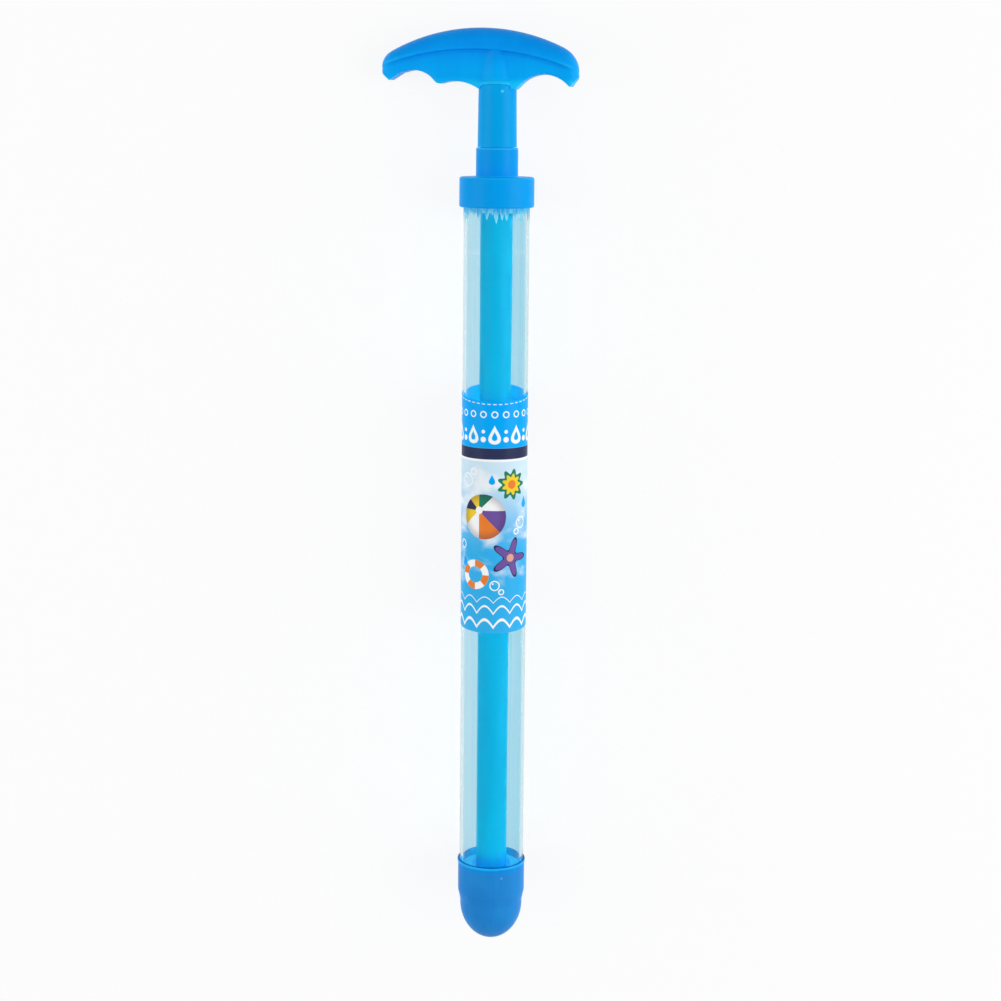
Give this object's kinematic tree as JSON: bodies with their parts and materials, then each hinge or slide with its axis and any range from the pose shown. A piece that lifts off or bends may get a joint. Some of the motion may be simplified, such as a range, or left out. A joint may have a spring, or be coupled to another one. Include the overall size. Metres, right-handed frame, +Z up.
{
  "type": "water squirter",
  "caption": "Hand-pumped water squirter: a clear barrel with a domed nozzle, a printed sleeve and a sliding plunger with a scalloped T-grip.",
  "frame": {"origin": "centre of the spray hole's mouth, on the barrel's axis", "axes": "+X along the barrel from the nozzle to the grip, +Y towards the grip's long arm, +Z up from the table that the squirter lies on"},
  "size_m": [0.4, 0.0842, 0.032],
  "materials": {
    "clear_tube": "clear, faintly blue extruded tube",
    "label_film": "glossy printed film",
    "nozzle_blue": "deep blue moulded plastic",
    "collar_blue": "bright blue moulded plastic",
    "piston_blue": "blue moulded plastic",
    "seal_rubber": "greased rubber ring",
    "rod_blue": "light blue moulded plastic",
    "plug_white": "natural white plastic",
    "grip_blue": "bright blue moulded plastic, softly glossy"
  },
  "bodies": {
    "barrel": {"barrel": "clear_tube", "label_sleeve": "label_film", "nozzle_cap": "nozzle_blue", "collar": "collar_blue"},
    "piston": {"piston_head": "piston_blue", "front_seal": "seal_rubber", "rear_seal": "seal_rubber"},
    "plunger": {"push_rod": "rod_blue", "rod_plug": "plug_white", "handle_grip": "grip_blue"}
  },
  "joints": [
    {"name": "plunger_slide", "type": "slide", "parent": "barrel", "child": "piston", "axis": [1, 0, 0], "range_m": [0, 0.292]},
    {"name": "plunger_spin", "type": "hinge", "parent": "piston", "child": "plunger", "pos_m": [0.028, 0, 0], "axis": [1, 0, 0], "continuous": true}
  ]
}
